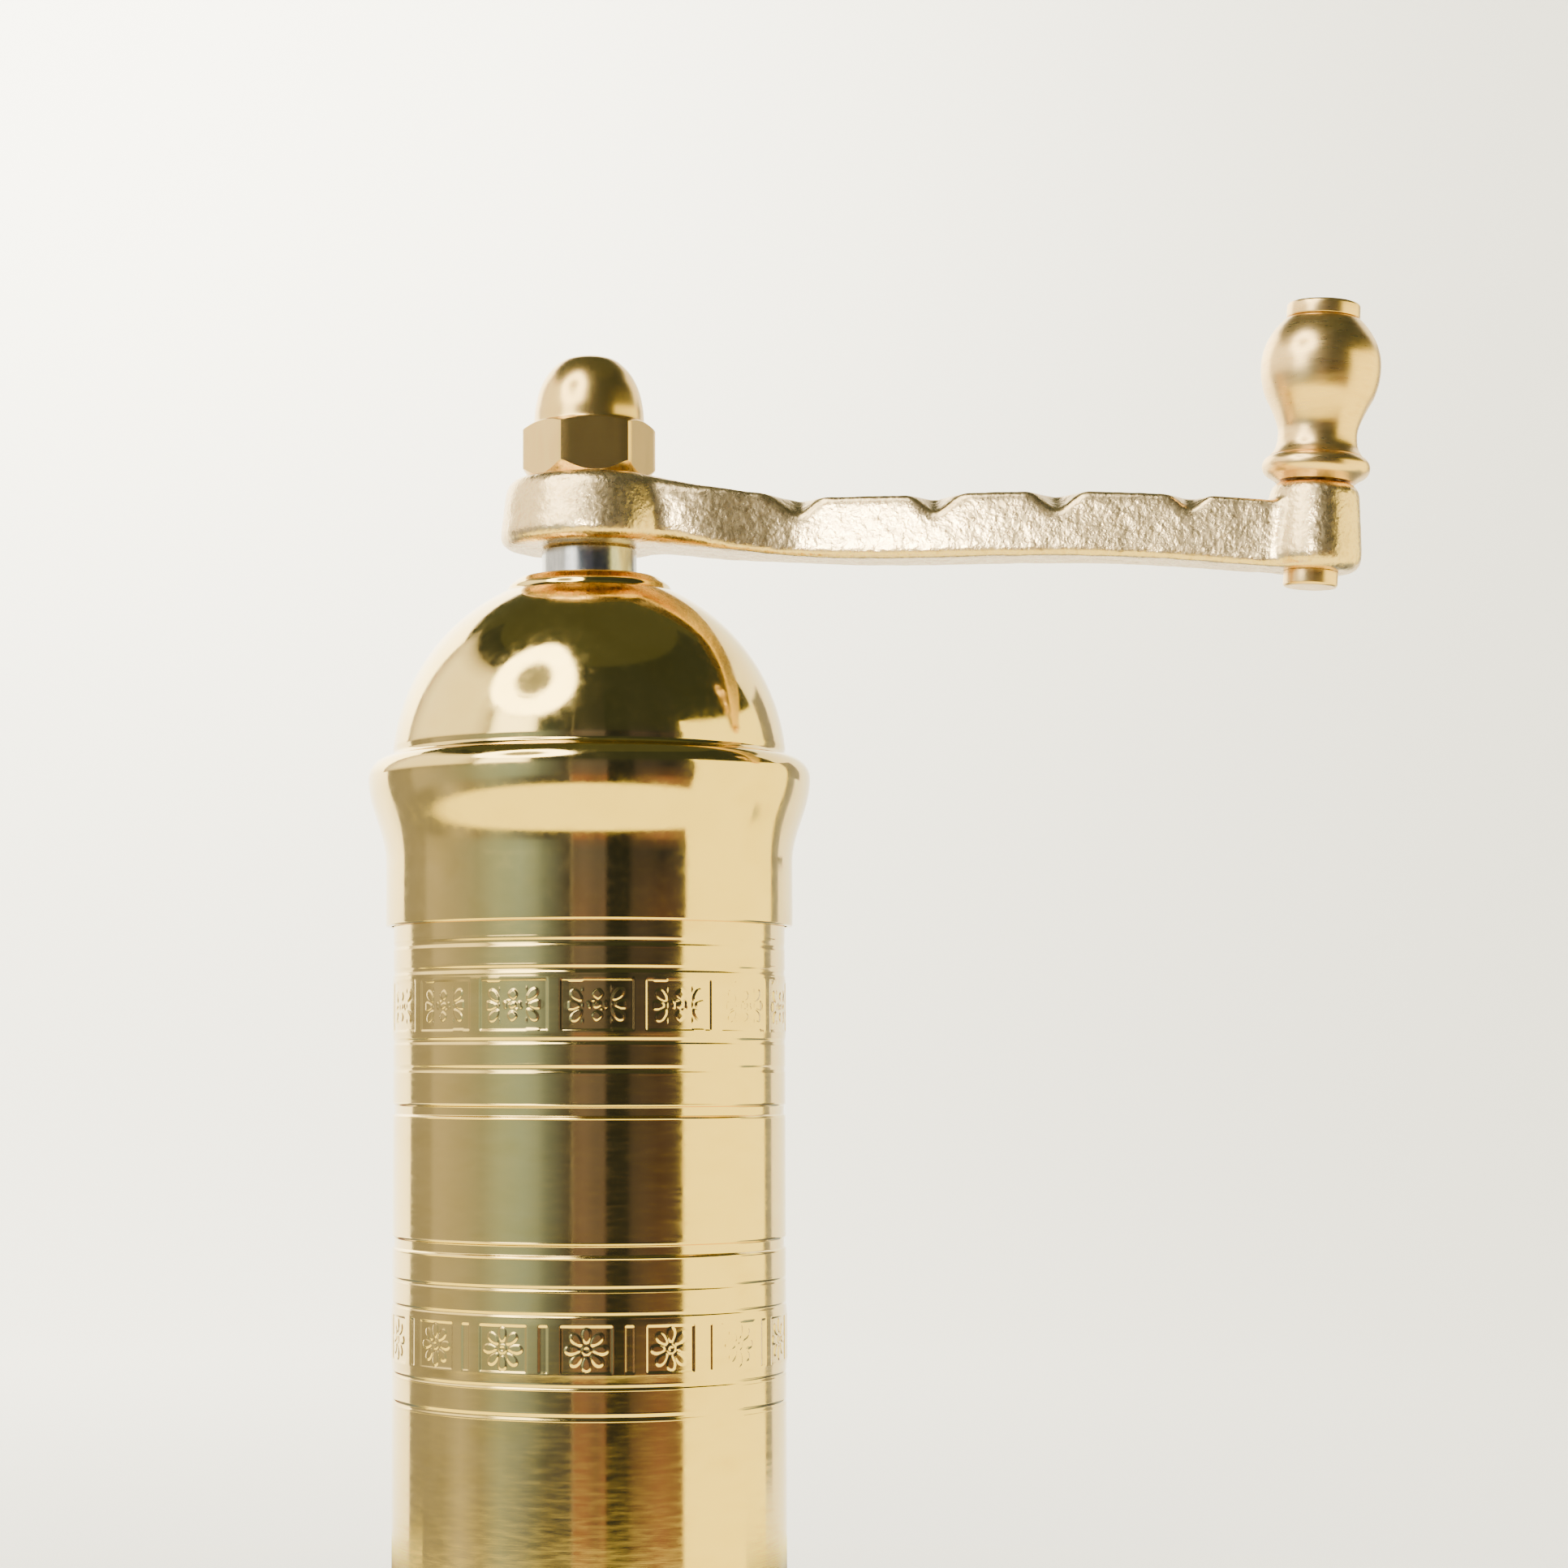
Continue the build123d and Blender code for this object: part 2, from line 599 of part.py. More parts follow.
# ---------------------------------------------------------------- write every piece
MAKERS = {
    "barrel_tube": make_barrel_tube,
    "cup_tube": make_cup_tube,
    "foot_shell": make_foot_shell,
    "coupling_ring": make_coupling_ring,
    "cap_shell": make_cap_shell,
    "cap_bush": make_cap_bush,
    "crank_arm": make_crank_arm,
    "acorn_nut": make_acorn_nut,
    "crank_knob": make_crank_knob,
    "knob_pin": make_knob_pin,
    "drive_shaft": make_drive_shaft,
    "spacer_sleeve": make_spacer_sleeve,
    "rotor_burr": make_rotor_burr,
    "stator_burr": make_stator_burr,
    "drive_pin": make_drive_pin,
    "spring_washer": make_spring_washer,
    "pressure_spring": make_pressure_spring,
    "bearing_spider": make_bearing_spider,
    "guide_bush": make_guide_bush,
    "adjuster_bridge": make_adjuster_bridge,
    "bridge_screws": make_bridge_screws,
    "thrust_ball": make_thrust_ball,
    "adjuster_screw": make_adjuster_screw,
    "adjuster_wheel": make_adjuster_wheel,
}

os.makedirs("parts", exist_ok=True)
for name, make in MAKERS.items():
    export_step(make(), f"parts/{name}.step")
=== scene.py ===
import bmesh
import bpy
import json
import math
from mathutils import Matrix, Vector, noise


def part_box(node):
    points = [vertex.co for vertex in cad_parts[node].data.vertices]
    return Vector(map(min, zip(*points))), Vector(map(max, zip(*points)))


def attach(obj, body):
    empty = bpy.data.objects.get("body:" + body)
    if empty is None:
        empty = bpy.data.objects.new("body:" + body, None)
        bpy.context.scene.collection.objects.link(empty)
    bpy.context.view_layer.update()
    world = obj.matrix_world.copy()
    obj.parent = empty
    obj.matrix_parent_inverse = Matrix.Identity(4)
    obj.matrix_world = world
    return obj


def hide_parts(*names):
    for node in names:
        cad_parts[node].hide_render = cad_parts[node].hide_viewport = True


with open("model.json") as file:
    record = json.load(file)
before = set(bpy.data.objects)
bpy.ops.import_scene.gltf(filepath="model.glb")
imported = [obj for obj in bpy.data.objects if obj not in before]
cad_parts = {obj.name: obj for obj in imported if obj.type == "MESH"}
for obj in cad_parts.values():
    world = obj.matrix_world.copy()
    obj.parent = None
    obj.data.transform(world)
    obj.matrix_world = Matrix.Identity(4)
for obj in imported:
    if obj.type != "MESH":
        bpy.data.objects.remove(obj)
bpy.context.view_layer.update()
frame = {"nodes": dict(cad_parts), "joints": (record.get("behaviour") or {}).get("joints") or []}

mm = 0.001


def span(node):
    low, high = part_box(node)
    return [v / mm for v in low], [v / mm for v in high]


tubeLow, tubeHigh = span("barrel_tube")
cupLow, cupHigh = span("cup_tube")
capLow, capHigh = span("cap_shell")
bushLow, bushHigh = span("cap_bush")
footHigh = span("foot_shell")[1]
sleeveLow, sleeveHigh = span("spacer_sleeve")
nutLow, nutHigh = span("acorn_nut")
tubeR = tubeHigh[0]
joints = {joint["name"]: joint for joint in frame["joints"]}
print("frame loaded")


# small helpers

def smoothStep(low, high, value):
    t = min(1.0, max(0.0, (value - low) / (high - low)))
    return t * t * (3 - 2 * t)


def arc(centre, radius, start, end, steps):  # angles in degrees, from the outward direction towards +Z
    turn = [math.radians(start + (end - start) * i / steps) for i in range(steps + 1)]
    return [(centre[0] + radius * math.cos(a), centre[1] + radius * math.sin(a)) for a in turn]


def curveThrough(points, steps):  # Catmull-Rom through the given points
    ends = [points[0], *points, points[-1]]
    line = []
    for a, b, c, d in zip(ends, ends[1:], ends[2:], ends[3:]):
        for i in range(steps):
            t = i / steps
            line.append(tuple(
                0.5 * (2 * b[k] + (c[k] - a[k]) * t + (2 * a[k] - 5 * b[k] + 4 * c[k] - d[k]) * t * t
                       + (3 * b[k] - a[k] - 3 * c[k] + d[k]) * t ** 3) for k in range(2)))
    return line + [points[-1]]


def finishMesh(name, mesh, material, angle=32):
    mesh.shade_smooth()
    mesh.set_sharp_from_angle(angle=math.radians(angle))
    mesh.materials.clear()
    mesh.materials.append(material)
    piece = bpy.data.objects.new(name, mesh)
    bpy.context.scene.collection.objects.link(piece)
    return piece


def meshFrom(name, verts, faces):
    mesh = bpy.data.meshes.new(name)
    mesh.from_pydata([Vector(v) * mm for v in verts], [], faces)
    work = bmesh.new()
    work.from_mesh(mesh)
    bmesh.ops.remove_doubles(work, verts=work.verts, dist=1e-6)
    bmesh.ops.recalc_face_normals(work, faces=work.faces)
    work.to_mesh(mesh)
    work.free()
    return mesh


# a closed outline of (radius, z), turned about Z
def spin(name, outline, material, sides=256, place=None, angle=32):
    verts, faces, count = [], [], len(outline)
    for i in range(sides):
        a = 2 * math.pi * i / sides
        verts += [(r * math.cos(a), r * math.sin(a), z) for r, z in outline]
    for i in range(sides):
        for j in range(count):
            k, n = (j + 1) % count, (i + 1) % sides
            if outline[j][0] < 1e-6 and outline[k][0] < 1e-6:
                continue  # on the axis
            faces.append((i * count + j, n * count + j, n * count + k, i * count + k))
    mesh = meshFrom(name, verts, faces)
    if place:
        mesh.transform(place)
    return finishMesh(name, mesh, material, angle)


def settle(piece, body, slot, *nodes):
    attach(piece, body)
    if nodes:
        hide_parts(*nodes)
    return piece


# finishes

def makeFinish(name, look):
    material = bpy.data.materials.new(name)
    material.use_nodes = True
    nodes, links = material.node_tree.nodes, material.node_tree.links
    shader = nodes["Principled BSDF"]
    shader.inputs["Metallic"].default_value = 1.0
    coords = nodes.new("ShaderNodeTexCoord")

    def grain(layer):  # one noise; size is the grain's width in mm along x, y and z
        mapping = nodes.new("ShaderNodeMapping")
        links.new(coords.outputs["Object"], mapping.inputs["Vector"])
        mapping.inputs["Scale"].default_value = [1 / (s * mm) for s in layer["size"]]
        field = nodes.new("ShaderNodeTexNoise")
        links.new(mapping.outputs["Vector"], field.inputs["Vector"])
        field.inputs["Scale"].default_value = 1.0
        field.inputs["Detail"].default_value = layer["detail"]
        return field.outputs["Fac"]

    ramp = nodes.new("ShaderNodeValToRGB")  # colour
    links.new(grain(look["tone"]), ramp.inputs["Fac"])
    stops = look["colours"]
    for i, colour in enumerate(stops):
        at = 0.3 + 0.4 * i / (len(stops) - 1)
        stop = ramp.color_ramp.elements[i] if i < 2 else ramp.color_ramp.elements.new(at)
        stop.position = at
        stop.color = (*colour, 1)
    links.new(ramp.outputs["Color"], shader.inputs["Base Color"])
    spread = nodes.new("ShaderNodeMapRange")  # roughness
    links.new(grain(look["wear"]), spread.inputs["Value"])
    spread.inputs["From Min"].default_value = 0.3
    spread.inputs["From Max"].default_value = 0.7
    spread.inputs["To Min"].default_value, spread.inputs["To Max"].default_value = look["rough"]
    links.new(spread.outputs["Result"], shader.inputs["Roughness"])
    normal = None
    for layer in look["bumps"]:
        bump = nodes.new("ShaderNodeBump")
        bump.inputs["Distance"].default_value = layer["depth"] * mm
        bump.inputs["Strength"].default_value = 1.0
        links.new(grain(layer), bump.inputs["Height"])
        if normal:
            links.new(normal, bump.inputs["Normal"])
        normal = bump.outputs["Normal"]
    links.new(normal, shader.inputs["Normal"])
    return material


brightBrass = ((0.79, 0.565, 0.16), (0.84, 0.61, 0.19), (0.81, 0.585, 0.175))
# per finish: colours, the grain that mixes them, the grain of its wear, its roughness, and its bumps (mm)
finishes = dict(
    polishedBrass=dict(
        colours=brightBrass,
        tone=dict(size=(9, 9, 4), detail=3),
        wear=dict(size=(3, 3, 0.5), detail=4), rough=(0.07, 0.15),
        bumps=(dict(size=(30, 30, 60), detail=1, depth=0.035),
               dict(size=(5, 5, 0.09), detail=3, depth=0.0016),
               dict(size=(0.25, 0.25, 0.25), detail=2, depth=0.0007))),
    domeBrass=dict(
        colours=brightBrass,
        tone=dict(size=(9, 9, 6), detail=3),
        wear=dict(size=(1.2, 1.2, 1.2), detail=5), rough=(0.06, 0.14),
        bumps=(dict(size=(14, 14, 14), detail=1, depth=0.020),
               dict(size=(0.22, 0.22, 0.22), detail=3, depth=0.0012))),
    turnedBrass=dict(
        colours=((0.78, 0.51, 0.18), (0.86, 0.59, 0.23), (0.82, 0.55, 0.21)),
        tone=dict(size=(4, 4, 1.0), detail=3),
        wear=dict(size=(2, 2, 0.3), detail=1), rough=(0.27, 0.31),
        bumps=(dict(size=(9, 9, 0.14), detail=1, depth=0.0006),
               dict(size=(0.2, 0.2, 0.2), detail=1, depth=0.0002))),
    nutBrass=dict(
        colours=((0.72, 0.48, 0.15), (0.77, 0.52, 0.17), (0.75, 0.50, 0.16)),
        tone=dict(size=(2.5, 2.5, 7), detail=1),
        wear=dict(size=(1.5, 1.5, 6), detail=1), rough=(0.25, 0.26),
        bumps=(dict(size=(0.2, 0.2, 8), detail=1, depth=0.00012),
               dict(size=(0.2, 0.2, 0.2), detail=1, depth=0.00015))),
    castBrass=dict(
        colours=((0.66, 0.46, 0.20), (0.82, 0.60, 0.29), (0.74, 0.53, 0.24)),
        tone=dict(size=(0.8, 0.8, 0.8), detail=3),
        wear=dict(size=(0.9, 0.9, 0.9), detail=1), rough=(0.25, 0.30),
        bumps=(dict(size=(0.55, 0.55, 0.55), detail=2, depth=0.062),)),
    innerBrass=dict(
        colours=((0.64, 0.45, 0.16), (0.76, 0.54, 0.21)),
        tone=dict(size=(5, 5, 2), detail=3),
        wear=dict(size=(2, 2, 0.4), detail=3), rough=(0.26, 0.4),
        bumps=(dict(size=(6, 6, 0.10), detail=2, depth=0.0030),)),
    brightSteel=dict(
        colours=((0.38, 0.38, 0.37), (0.52, 0.515, 0.49)),
        tone=dict(size=(0.8, 0.8, 3), detail=3),
        wear=dict(size=(1, 1, 0.4), detail=1), rough=(0.20, 0.24),
        bumps=(dict(size=(0.35, 0.35, 5), detail=1, depth=0.0016),)),
    zincSteel=dict(
        colours=((0.40, 0.41, 0.42), (0.52, 0.53, 0.54)),
        tone=dict(size=(1.5, 1.5, 1.5), detail=4),
        wear=dict(size=(0.6, 0.6, 0.6), detail=3), rough=(0.34, 0.5),
        bumps=(dict(size=(0.4, 0.4, 0.4), detail=3, depth=0.006),)),
    springSteel=dict(
        colours=((0.10, 0.10, 0.105), (0.20, 0.20, 0.21)),
        tone=dict(size=(1.5, 1.5, 1.5), detail=3),
        wear=dict(size=(0.5, 0.5, 0.5), detail=3), rough=(0.28, 0.42),
        bumps=(dict(size=(0.3, 0.3, 0.3), detail=2, depth=0.003),)),
    burrIron=dict(
        colours=((0.06, 0.06, 0.065), (0.14, 0.14, 0.145)),
        tone=dict(size=(1.0, 1.0, 1.0), detail=4),
        wear=dict(size=(0.5, 0.5, 0.5), detail=3), rough=(0.42, 0.62),
        bumps=(dict(size=(0.35, 0.35, 0.35), detail=3, depth=0.015),)))
finish = {name: makeFinish(name, look) for name, look in finishes.items()}
print("finishes made")


# tubes: turned lines and stamped flowers

tube = dict(
    wall=1.0, sides=240,
    lines=((153.7, 1.3), (150.4, 1.1), (141.65, 1.0), (138.25, 1.2),
           (111.9, 0.8), (108.75, 0.7), (100.15, 0.7), (96.6, 0.9),
           (54.0, 0.9), (50.6, 0.8), (41.4, 0.8), (38.0, 0.9)),  # centre height and width
    lineDepth=0.095, lip=0.012,
    grooves=((133.1, 1.5), (116.4, 1.6), (61.0, 1.5)), grooveDepth=0.22)


def turnedDepth(z):  # how far the turned lines cut in, or their lips stand out, at a height
    depth = 0.0
    for centre, width in tube["lines"]:
        t = abs(z - centre) / (width * 0.4)
        if t < 1:
            depth += tube["lineDepth"] * math.cos(t * math.pi / 2) ** 1.3
        depth -= tube["lip"] * math.exp(-((t - 1.25) / 0.22) ** 2)
    for centre, width in tube["grooves"]:
        t = abs(z - centre) / (width / 2)
        depth += tube["grooveDepth"] * (1 - smoothStep(0.62, 1.0, t))
        depth -= 0.04 * math.exp(-((t - 1.12) / 0.1) ** 2)
    return depth


def tubeRows(low, high):  # heights that hold every line's shape
    rows = {low, high}
    for centre, width in tube["lines"] + tube["grooves"]:
        for t in (0, 0.2, 0.4, 0.55, 0.7, 0.8, 0.9, 1.0, 1.12, 1.25, 1.4, 1.6):
            rows |= {centre - t * width * 0.4, centre + t * width * 0.4}
            rows |= {centre - t * width / 2, centre + t * width / 2}
    return sorted(z for z in rows if low <= z <= high)


def plainTube(name, low, high):
    inner = tubeR - tube["wall"]
    outline = [(tubeR - turnedDepth(z), z) for z in tubeRows(low, high)]
    return spin(name, [(inner, low), *outline, (inner, high)], finish["polishedBrass"], tube["sides"])


stamp = dict(
    count=15, panel=6.3, panelDepth=0.10, edge=0.16,
    petals=8, petalAt=1.70, petalLong=1.0, petalWide=0.56, petalRise=0.085,
    ring=0.42, ringWidth=0.15, ringRise=0.08,
    bar=1.15, barDepth=0.09, barGap=1.5, bulge=0.08, cell=0.128,
    shift=1.3, slip=0.12)  # where the panel stands on its sector, and how far a second strike slips down


def flower(u, v):  # height of the raised flower above its panel
    around, out = math.atan2(v, u), math.hypot(u, v)
    step = 2 * math.pi / stamp["petals"]
    rise = 0.0
    nearest = round(around / step)
    for k in (nearest - 1, nearest, nearest + 1):
        a = k * step
        along = u * math.cos(a) + v * math.sin(a) - stamp["petalAt"]
        across = -u * math.sin(a) + v * math.cos(a)
        width = stamp["petalWide"] * (1 + 0.25 * along / stamp["petalLong"])
        reach = math.hypot(along / stamp["petalLong"], across / width)
        rise = max(rise, stamp["petalRise"] * (1 - smoothStep(0.76, 1.0, reach)))
    return rise + stamp["ringRise"] * math.exp(-((out - stamp["ring"]) / stamp["ringWidth"]) ** 2)


def strike(u, v, tall):  # one strike of the roller: a square panel with its flower, and a bar beside it
    half = stamp["panel"] / 2
    edge = max(abs(u) - half, abs(v) - tall / 2)
    panel = 1 - smoothStep(-stamp["edge"], 0, edge)
    height = -panel * (stamp["panelDepth"] - flower(u, v))
    barU = u - half - stamp["barGap"] - stamp["bar"] / 2
    edge = max(abs(barU) - stamp["bar"] / 2, abs(v) - tall / 2)
    return height - stamp["barDepth"] * (1 - smoothStep(-stamp["edge"], 0, edge))


def stampedBand(name, low, high, centre, tall, offset, second=None):
    # low and high are the centres of the turned lines above and below the row
    # second is a second strike's shift
    width = 2 * math.pi * tubeR / stamp["count"]
    columns = round(width / stamp["cell"])
    near = tall / 2 + 0.2
    inside = [centre - near + i * stamp["cell"] for i in range(1, int(2 * near / stamp["cell"]))]
    rows = [z for z in tubeRows(low, high) if abs(z - centre) > near] + [centre - near, centre + near]
    rows = sorted(set(rows + inside))
    inner = tubeR - tube["wall"]
    verts = []
    for i in range(columns + 1):
        u = width * (i / columns - 0.5)
        a = u / tubeR
        for z in rows:
            v = z - centre
            relief = 0.0
            if abs(v) < near:
                for wrap in (-width, 0, width):
                    relief = min(relief, strike(u - wrap + stamp["shift"], v, tall))
                    if second:
                        again = u - wrap + stamp["shift"] - second
                        relief = min(relief, strike(again, v - stamp["slip"], tall))
            swell = stamp["bulge"] * (1 - smoothStep(tall / 2, near + 0.9, abs(v)))
            r = tubeR - turnedDepth(z) + relief + swell
            verts.append((r * math.cos(a), r * math.sin(a), z))
        verts += [(inner * math.cos(a), inner * math.sin(a), z) for z in (high, low)]
    count = len(rows) + 2
    faces = [(i * count + j, (i + 1) * count + j,
              (i + 1) * count + (j + 1) % count, i * count + (j + 1) % count)
             for i in range(columns) for j in range(count)]
    mesh = meshFrom(name, verts, faces)
    tile = finishMesh(name + "_tile", mesh, finish["polishedBrass"])
    return ringOf(name, tile, stamp["count"], offset, finish["polishedBrass"], 40)


# Geometry Nodes: copies of one sector, turned about Z and joined into a ring

def ringTree():
    tree = bpy.data.node_groups.new("ringOfSectors", "GeometryNodeTree")
    face = tree.interface
    face.new_socket(name="Sector", in_out="INPUT", socket_type="NodeSocketGeometry")
    face.new_socket(name="Count", in_out="INPUT", socket_type="NodeSocketInt")
    face.new_socket(name="First angle", in_out="INPUT", socket_type="NodeSocketFloat")
    face.new_socket(name="Join distance", in_out="INPUT", socket_type="NodeSocketFloat")
    face.new_socket(name="Finish", in_out="INPUT", socket_type="NodeSocketMaterial")
    face.new_socket(name="Ring", in_out="OUTPUT", socket_type="NodeSocketGeometry")
    nodes, links = tree.nodes, tree.links
    inputs, result = nodes.new("NodeGroupInput"), nodes.new("NodeGroupOutput")
    points = nodes.new("GeometryNodePoints")
    links.new(inputs.outputs["Count"], points.inputs["Count"])
    index = nodes.new("GeometryNodeInputIndex")
    step = nodes.new("ShaderNodeMath")
    step.operation = "DIVIDE"
    step.inputs[0].default_value = 2 * math.pi
    links.new(inputs.outputs["Count"], step.inputs[1])
    turn = nodes.new("ShaderNodeMath")
    turn.operation = "MULTIPLY_ADD"
    links.new(index.outputs["Index"], turn.inputs[0])
    links.new(step.outputs[0], turn.inputs[1])
    links.new(inputs.outputs["First angle"], turn.inputs[2])
    rotation = nodes.new("ShaderNodeCombineXYZ")
    links.new(turn.outputs[0], rotation.inputs["Z"])
    copies = nodes.new("GeometryNodeInstanceOnPoints")
    links.new(points.outputs[0], copies.inputs["Points"])
    links.new(inputs.outputs["Sector"], copies.inputs["Instance"])
    links.new(rotation.outputs[0], copies.inputs["Rotation"])
    real = nodes.new("GeometryNodeRealizeInstances")
    links.new(copies.outputs["Instances"], real.inputs["Geometry"])
    join = nodes.new("GeometryNodeMergeByDistance")
    links.new(real.outputs["Geometry"], join.inputs["Geometry"])
    links.new(inputs.outputs["Join distance"], join.inputs["Distance"])
    paint = nodes.new("GeometryNodeSetMaterial")
    links.new(join.outputs["Geometry"], paint.inputs["Geometry"])
    links.new(inputs.outputs["Finish"], paint.inputs["Material"])
    links.new(paint.outputs["Geometry"], result.inputs["Ring"])
    return tree


sectorRing = ringTree()


def ringOf(name, sector, count, firstAngle, material, angle=32):
    values = {"Count": count, "First angle": math.radians(firstAngle), "Join distance": 2e-6,
              "Finish": material}
    modifier = sector.modifiers.new("ring", "NODES")
    modifier.node_group = sectorRing
    for item in sectorRing.interface.items_tree:
        if item.name in values:
            modifier[item.identifier] = values[item.name]
    seen = bpy.context.evaluated_depsgraph_get()
    mesh = bpy.data.meshes.new_from_object(sector.evaluated_get(seen))
    bpy.data.objects.remove(sector)
    return finishMesh(name, mesh, material, angle)


cameraTurn = 5.0  # the eye stands this many degrees round from square-on to the arm
stampStart = cameraTurn - 90 - 5.0 + 7.2  # the panel left of the middle, seen from the eye

plainParts = dict(barrel=((tubeLow[2], 100.15), (108.75, 141.65), (150.4, tubeHigh[2])),
                  cup=((cupLow[2], 41.4), (50.6, cupHigh[2])))
barrelPieces = [plainTube(f"barrel_plain_{i + 1}", *part) for i, part in enumerate(plainParts["barrel"])]
barrelPieces += [stampedBand("barrel_flowers_upper", 141.65, 150.4, 145.95, 6.1, stampStart, 2.6),
                 stampedBand("barrel_flowers_lower", 100.15, 108.75, 104.65, 5.7, stampStart)]
for piece in barrelPieces:
    settle(piece, "barrel", "polished_brass", "barrel_tube")
cupPieces = [plainTube(f"cup_plain_{i + 1}", *part) for i, part in enumerate(plainParts["cup"])]
cupPieces += [stampedBand("cup_flowers", 41.4, 50.6, 46.0, 5.7, stampStart)]
for piece in cupPieces:
    settle(piece, "cup", "polished_brass", "cup_tube")
print("tubes made")


# spun cap and foot

cap = dict(sheet=0.8, skirtR=26.0, flareZ=164.5, bulgeZ=175.2, shoulder=2.7, crease=0.9,
           domeR=25.27, domeZ=176.56, rimRound=0.3, holeR=8.0)
bush = dict(bodyR=8.0, roundR=9.9, roundZ=1.2, crownR=9.0, crownDrop=0.28, shoulderR=7.6, play=0.08,
            bevel=0.3)
foot = dict(sheet=0.8, floor=1.2, flareZ=13.6, bulgeZ=3.4, skirtR=26.0, rimRound=0.3, innerRound=2.2)


def flareLine(skirtR, bulgeR, flareZ, bulgeZ, steps=28):  # from the straight skirt out to the bulge
    return [(skirtR + (bulgeR - skirtR) * (1 - math.cos(math.pi * i / steps)) / 2,
             flareZ + (bulgeZ - flareZ) * i / steps) for i in range(steps + 1)]


def domeLine(radius, lowZ, highZ, steps):
    low, high = [math.asin((z - cap["domeZ"]) / radius) for z in (lowZ, highZ)]
    return arc((0, cap["domeZ"]), radius, math.degrees(low), math.degrees(high), steps)


def makeCap():
    bulgeR, rimZ, topZ = capHigh[0], capLow[2], capHigh[2]
    ledgeR = bulgeR - cap["shoulder"]
    creaseZ = cap["bulgeZ"] + cap["shoulder"]
    sheet, rim = cap["sheet"], cap["rimRound"]
    innerSkirt = cap["skirtR"] - sheet + 0.1
    outside = arc((cap["skirtR"] - rim, rimZ + rim), rim, -90, 0, 4)
    outside += flareLine(cap["skirtR"], bulgeR, cap["flareZ"], cap["bulgeZ"])
    outside += arc((ledgeR, cap["bulgeZ"]), cap["shoulder"], 4, 80, 16)
    outside += arc((ledgeR + 0.35, creaseZ + cap["crease"] * 0.86), cap["crease"], 262, 186, 8)
    outside += domeLine(cap["domeR"], creaseZ + 1.1, topZ, 60)
    hole = [(cap["holeR"], topZ), (cap["holeR"], topZ - sheet)]
    inside = domeLine(cap["domeR"] - sheet, creaseZ - sheet, topZ - sheet, 24)[::-1]
    inside += arc((ledgeR, cap["bulgeZ"]), cap["shoulder"] - sheet, 90, 4, 8)
    inside += flareLine(innerSkirt, bulgeR - sheet, cap["flareZ"], cap["bulgeZ"], 14)[::-1]
    inside += [(innerSkirt, rimZ + 0.1), (innerSkirt + 0.1, rimZ)]
    return spin("cap_dome", outside + hole + inside, finish["domeBrass"], 288)


def makeBush():
    topZ, baseZ, endZ = bushHigh[2], capHigh[2], bushLow[2]
    flangeR, bodyR, boreR = bushHigh[0], bush["bodyR"], sleeveHigh[0] + bush["play"]
    shape = [(flangeR + 0.15, baseZ), (flangeR, baseZ + 0.25), (flangeR - 0.2, baseZ + 0.75),
             (bush["roundR"], baseZ + bush["roundZ"]), (bush["crownR"], topZ - bush["crownDrop"]),
             (bush["shoulderR"], topZ), (boreR + 0.4, topZ)]
    outline = curveThrough(shape, 6)
    outline += [(boreR, topZ - bush["bevel"]), (boreR, endZ), (bodyR, endZ), (bodyR, baseZ)]
    return spin("cap_collar", outline, finish["domeBrass"], 192)


def makeFoot():
    rimZ, bulgeR = footHigh[2], footHigh[0]
    sheet, rim, skirtR = foot["sheet"], foot["rimRound"], foot["skirtR"]
    flareZ, bulgeZ, innerR = foot["flareZ"], foot["bulgeZ"], foot["innerRound"]
    outside = flareLine(skirtR, bulgeR, flareZ, bulgeZ)[::-1] + arc((skirtR - rim, rimZ - rim), rim, 0, 90, 4)
    inside = [(tubeR, rimZ), (tubeR, flareZ)] + flareLine(tubeR, bulgeR - sheet, flareZ, bulgeZ, 14)[1:]
    inside += arc((bulgeR - sheet - innerR, bulgeZ), innerR, 0, -90, 6) + [(0, foot["floor"])]
    under = [(0, 0)] + arc((bulgeR - bulgeZ, bulgeZ), bulgeZ, -90, 0, 14)
    return spin("foot_flare", under[:-1] + outside + inside, finish["domeBrass"], 256)


settle(makeCap(), "cap", "polished_brass", "cap_shell")
settle(makeBush(), "cap", "turned_brass", "cap_bush")
settle(makeFoot(), "cup", "polished_brass", "foot_shell")
print("cap and foot made")


# crank

arm = dict(voxel=0.26, soften=56, neckX=11.0, neckReach=4.0, neckSoften=220,
           # x, and the share by which it is wider than the CAD arm
           plan=((4, 0), (13, 0.12), (27, -0.10), (50, 0.06), (86, -0.08), (91, 0)),
           lumps=((2.4, 0.05), (0.9, 0.025)))  # size and height of the cast grain


def wider(x):
    for (start, low), (end, high) in zip(arm["plan"], arm["plan"][1:]):
        if start <= x <= end:
            return low + (high - low) * smoothStep(start, end, x)
    return 0.0


